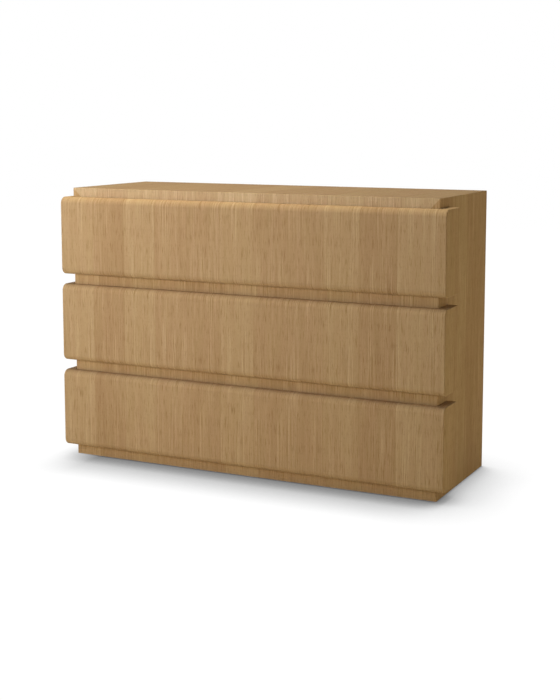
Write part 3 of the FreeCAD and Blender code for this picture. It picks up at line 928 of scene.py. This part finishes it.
def makeScrewTree():
    # head, threaded shank and point, with a cross recess in the head
    tree, inlet = newTree("crossRecessScrew", {**screws["pan"], "Countersunk": False})
    headRadius, headHeight, shankRadius = inlet["Head Radius"], inlet["Head Height"], inlet["Shank Radius"]
    headSides, shankSides = screws["headSides"], screws["shankSides"]
    overlap, point = screws["overlap"], screws["pointLength"]
    core = addNode(
        tree, "ShaderNodeMath", {"operation": "MULTIPLY", 1: screws["coreShare"]}, {0: shankRadius}
    )
    driven = addNode(tree, "ShaderNodeMath", {"operation": "SUBTRACT"}, {0: inlet["Length"], 1: headHeight})
    straight = addNode(tree, "ShaderNodeMath", {"operation": "SUBTRACT", 1: point}, {0: driven})
    cone = addNode(
        tree, "GeometryNodeMeshCone", {"Vertices": headSides},
        {"Radius Top": headRadius, "Radius Bottom": shankRadius, "Depth": headHeight},
    )
    domed = addDome(tree, headRadius, headHeight, inlet["Roundness"], headSides)
    head = addNode(
        tree, "GeometryNodeSwitch", {"input_type": "GEOMETRY"},
        {0: inlet["Countersunk"], 1: domed, 2: cone.outputs["Mesh"]},
    )
    # the shank runs a little into the head and the point
    longer = addNode(tree, "ShaderNodeMath", {"operation": "ADD", 1: overlap}, {0: straight})
    rod = addNode(
        tree, "GeometryNodeMeshCylinder", {"Vertices": shankSides}, {"Radius": core, "Depth": longer}
    ).outputs["Mesh"]
    shorter = addNode(tree, "ShaderNodeMath", {"operation": "SUBTRACT", 1: overlap}, {0: straight})
    rod = lifted(tree, rod, -0.5, shorter)
    tip = addNode(
        tree, "GeometryNodeMeshCone",
        {"Vertices": shankSides, "Radius Bottom": screws["tipRadius"], "Depth": point}, {"Radius Top": core},
    ).outputs["Mesh"]
    tip = lifted(tree, tip, -1.0, driven)
    whole = addNode(
        tree, "GeometryNodeMeshBoolean", {"operation": "UNION", "solver": "EXACT"}, {1: [head, rod, tip]}
    )
    wings = []
    width, reach = screws["recessWidth"], screws["recessReach"]
    for size in ((reach, width), (width, reach)):
        wing = addNode(tree, "GeometryNodeMeshCube", {"Size": (*size, 2 * screws["recessDepth"])})
        wings.append(lifted(tree, wing.outputs["Mesh"], 1.0, headHeight))
    recessed = addNode(
        tree, "GeometryNodeMeshBoolean", {"operation": "DIFFERENCE", "solver": "EXACT"},
        {0: whole, 1: wings},
    )
    turns = addNode(tree, "ShaderNodeMath", {"operation": "DIVIDE", 1: screws["threadPitch"]}, {0: straight})
    spiral = addNode(
        tree, "GeometryNodeCurveSpiral", {"Resolution": screws["threadSteps"]},
        {"Rotations": turns, "Start Radius": core, "End Radius": core, "Height": straight},
    )
    proud = addNode(tree, "ShaderNodeMath", {"operation": "SUBTRACT"}, {0: shankRadius, 1: core})
    ridge = addNode(tree, "GeometryNodeCurvePrimitiveCircle", {0: screws["threadSides"]}, {"Radius": proud})
    thread = addNode(tree, "GeometryNodeCurveToMesh", {"Fill Caps": True}, {0: spiral, 1: ridge})
    thread = lifted(tree, thread, -1.0, straight)
    unit = addNode(tree, "GeometryNodeJoinGeometry", {}, {0: [recessed, thread]})
    return closeTree(tree, inlet, lifted(tree, unit, -1.0, headHeight), screws["seed"])


def makePadTree():
    tree, inlet = newTree("roundedPad", pads["glide"])
    unit = addDome(tree, inlet["Radius"], inlet["Height"], inlet["Roundness"], pads["sides"])
    return closeTree(tree, inlet, unit)


def makeRetainerTree():
    # a strip of sheet with its row of balls, on edge in the race
    tree, inlet = newTree("ballRetainer", retainers["sizes"])
    length, height, pitch = inlet["Strip Length"], inlet["Strip Height"], inlet["Ball Pitch"]
    section = addNode(
        tree, "GeometryNodeCurvePrimitiveQuadrilateral", {}, {"Width": inlet["Strip Width"], "Height": height}
    )
    corner = addNode(
        tree, "ShaderNodeMath", {"operation": "MULTIPLY", 1: retainers["cornerShare"]}, {0: height}
    )
    softened = addNode(
        tree, "GeometryNodeFilletCurve", {"mode": "POLY", 1: retainers["cornerSteps"]},
        {"Curve": section, "Radius": corner},
    )
    ends = []
    for share in (-0.5, 0.5):
        end = addNode(tree, "ShaderNodeMath", {"operation": "MULTIPLY", 1: share}, {0: length})
        ends.append(addNode(tree, "ShaderNodeCombineXYZ", {}, {1: end}))
    spine = addNode(tree, "GeometryNodeCurvePrimitiveLine", {}, {0: ends[0], 1: ends[1]})
    strip = addNode(tree, "GeometryNodeCurveToMesh", {"Fill Caps": True}, {0: spine, 1: softened})

    count = addNode(tree, "ShaderNodeMath", {"operation": "DIVIDE"}, {0: length, 1: pitch})
    run = addNode(tree, "ShaderNodeMath", {"operation": "SUBTRACT"}, {0: length, 1: pitch})
    start = addNode(tree, "ShaderNodeMath", {"operation": "MULTIPLY", 1: -0.5}, {0: run})
    first = addNode(tree, "ShaderNodeCombineXYZ", {}, {1: start})
    step = addNode(tree, "ShaderNodeCombineXYZ", {}, {1: pitch})
    row = addNode(tree, "GeometryNodeMeshLine", {}, {"Count": count, "Start Location": first, "Offset": step})
    ball = addNode(
        tree, "GeometryNodeMeshUVSphere",
        {"Segments": retainers["ballSegments"], "Rings": retainers["ballRings"]},
        {"Radius": inlet["Ball Radius"]},
    )
    balls = addNode(
        tree, "GeometryNodeInstanceOnPoints", {}, {"Points": row, "Instance": ball.outputs["Mesh"]}
    )
    unit = addNode(tree, "GeometryNodeJoinGeometry", {}, {0: [strip, balls]})
    return closeTree(tree, inlet, unit)


def grow(name, places, tree, sizes, turn, material):
    # a mesh of bare points grows the tree's unit on each of them, and becomes plain mesh
    mesh = bpy.data.meshes.new(name)
    mesh.from_pydata(places, [], [])
    piece = newObject(name, mesh)
    growth = piece.modifiers.new("growth", "NODES")
    growth.node_group = tree
    values = dict(sizes, Turn=turn, Material=material)
    for item in tree.interface.items_tree:
        if item.in_out == "INPUT" and item.name in values:
            growth[item.identifier] = values[item.name]
    settle(piece)
    shape = bmesh.new()
    shape.from_mesh(piece.data)
    bmesh.ops.recalc_face_normals(shape, faces=shape.faces)
    for face in shape.faces:
        face.material_index = 0
    shape.to_mesh(piece.data)
    shape.free()
    piece.data.materials.clear()
    piece.data.materials.append(material)
    smoothShading(piece)
    return piece


carcassFittings = {
    "backScrewColumns": 6,
    "backScrewRows": 5,
    "backScrewInset": 0.045,  # of the row under the top and of the two columns, from their corners
    "glideInset": 0.040,  # from the carcass front
    "plinthGlideSpread": 0.36,
    "dotInset": 0.024,  # from the lower and upper edge of a face
}


def makeCarcassFittings(screwTree, padTree, zinc, nylon, clear):
    # each set of places spans the node that it replaces, less the radius of its heads or pads
    size = carcassFittings
    low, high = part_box("back_panel_screws")
    r = screws["flat"]["Head Radius"]
    across, top, bottom = high.x - r, high.z - r, low.z + r
    rowEnd = across - size["backScrewInset"]
    places = [(x, high.y, top) for x in spaced(-rowEnd, rowEnd, size["backScrewColumns"])]
    places += [
        (x, high.y, z) for x in (-across, across)
        for z in spaced(bottom, top - size["backScrewInset"], size["backScrewRows"])
    ]
    piece = grow("back_panel_countersunk_screws", places, screwTree, screws["flat"], towardsBack, zinc)
    fit(piece, "carcass", "zinc_steel", "back_panel_screws")

    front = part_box("side_panel_left")[0].y
    low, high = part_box("floor_glides")
    r = pads["glide"]["Radius"]
    across = high.x - r
    places = [(x, y, high.z) for y in (front + size["glideInset"], high.y - r) for x in (-across, across)]
    half = size["plinthGlideSpread"] / 2
    places += [(x, low.y + r, high.z) for x in (-half, half)]
    piece = grow("floor_glide_pads", places, padTree, pads["glide"], towardsFloor, nylon)
    fit(piece, "carcass", "nylon", "floor_glides")

    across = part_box("bumper_dots")[1].x - pads["dot"]["Radius"]
    places = []
    for drawer in drawers:
        low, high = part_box(f"{drawer}_face")
        levels = (low.z + size["dotInset"], high.z - size["dotInset"])
        places += [(x, front, z) for x in (-across, across) for z in levels]
    piece = grow("soft_dots", places, padTree, pads["dot"], towardsFront, clear)
    fit(piece, "carcass", "soft_clear", "bumper_dots")
    print("back screws, glides and dots made")


drawerFittings = {
    "slideWeb": 0.0012,
    "slideScrewPlaces": (-0.155, -0.01, 0.135),
    "retainerRows": (  # across, half height, middle of its length
        (0.54725, 0.01930, 0.0765),
        (0.54565, 0.01360, -0.0985),
    ),
}


def makeDrawerFittings(screwTree, retainerTree, zinc):
    size = drawerFittings
    for drawer in drawers:
        low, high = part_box(f"{drawer}_face_screws")
        r = screws["pan"]["Head Radius"]
        places = [(x, high.y, z) for x in (low.x + r, 0.0, high.x - r) for z in (low.z + r, high.z - r)]
        piece = grow(f"{drawer}_pan_head_screws", places, screwTree, screws["pan"], towardsBack, zinc)
        fit(piece, drawer, "zinc_steel", f"{drawer}_face_screws")

        low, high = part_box(f"{drawer}_slide_inner_right")
        level = (low.z + high.z) / 2
        proud = low.x + size["slideWeb"] + screws["low"]["Head Height"]
        for side, way in zip(sides, (-1, 1)):
            places = [(way * proud, y, level) for y in size["slideScrewPlaces"]]
            name = f"{drawer}_slide_screws_{side}"
            fit(grow(name, places, screwTree, screws["low"], towardsSide[side], zinc), drawer, "zinc_steel")

        places = [
            (way * x, y, level + up * half)
            for x, half, y in size["retainerRows"] for way in (-1, 1) for up in (-1, 1)
        ]
        upright = (0, 0, 0)
        piece = grow(
            f"{drawer}_retainers_with_balls", places, retainerTree, retainers["sizes"], upright, zinc
        )
        fit(piece, f"{drawer}_middle_members", "zinc_steel", f"{drawer}_ball_retainers")
    print("drawer screws and ball retainers made")


def paint(material, *nodes):
    for node in nodes:
        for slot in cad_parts[node].material_slots:
            slot.material = material


def paintFrame(zinc):
    paint(
        makeVeneer(veneers["carcass"]),
        "side_panel_left", "side_panel_right", "plinth_board", "rail_1", "rail_2", "floor_panel", "back_rail",
    )
    paint(makeVeneer(veneers["top"]), "top_panel")
    paint(makeBoard(boards["back"]), "back_panel")
    boxSides = makeBoard(boards["boxSides"])
    boxEnds = makeBoard(boards["boxEnds"])
    boxBottoms = makeBoard(boards["boxBottoms"])
    for drawer in drawers:
        paint(boxSides, *(f"{drawer}_box_side_{side}" for side in sides))
        paint(boxEnds, f"{drawer}_box_front", f"{drawer}_box_back")
        paint(boxBottoms, f"{drawer}_box_bottom")
        for member in ("outer", "middle", "inner"):
            paint(zinc, *(f"{drawer}_slide_{member}_{side}" for side in sides))
    print("materials on the carcass, boxes and slides")


makeCamera()
makeFloor()
makeSurroundings()
makeLamps()
makeFaces(makeVeneer(veneers["faces"]))
steel = makeZinc()
paintFrame(steel)
screwUnits = makeScrewTree()
makeCarcassFittings(
    screwUnits, makePadTree(), steel, makePlastic(plastics["glides"]), makePlastic(plastics["dots"])
)
makeDrawerFittings(screwUnits, makeRetainerTree(), steel)
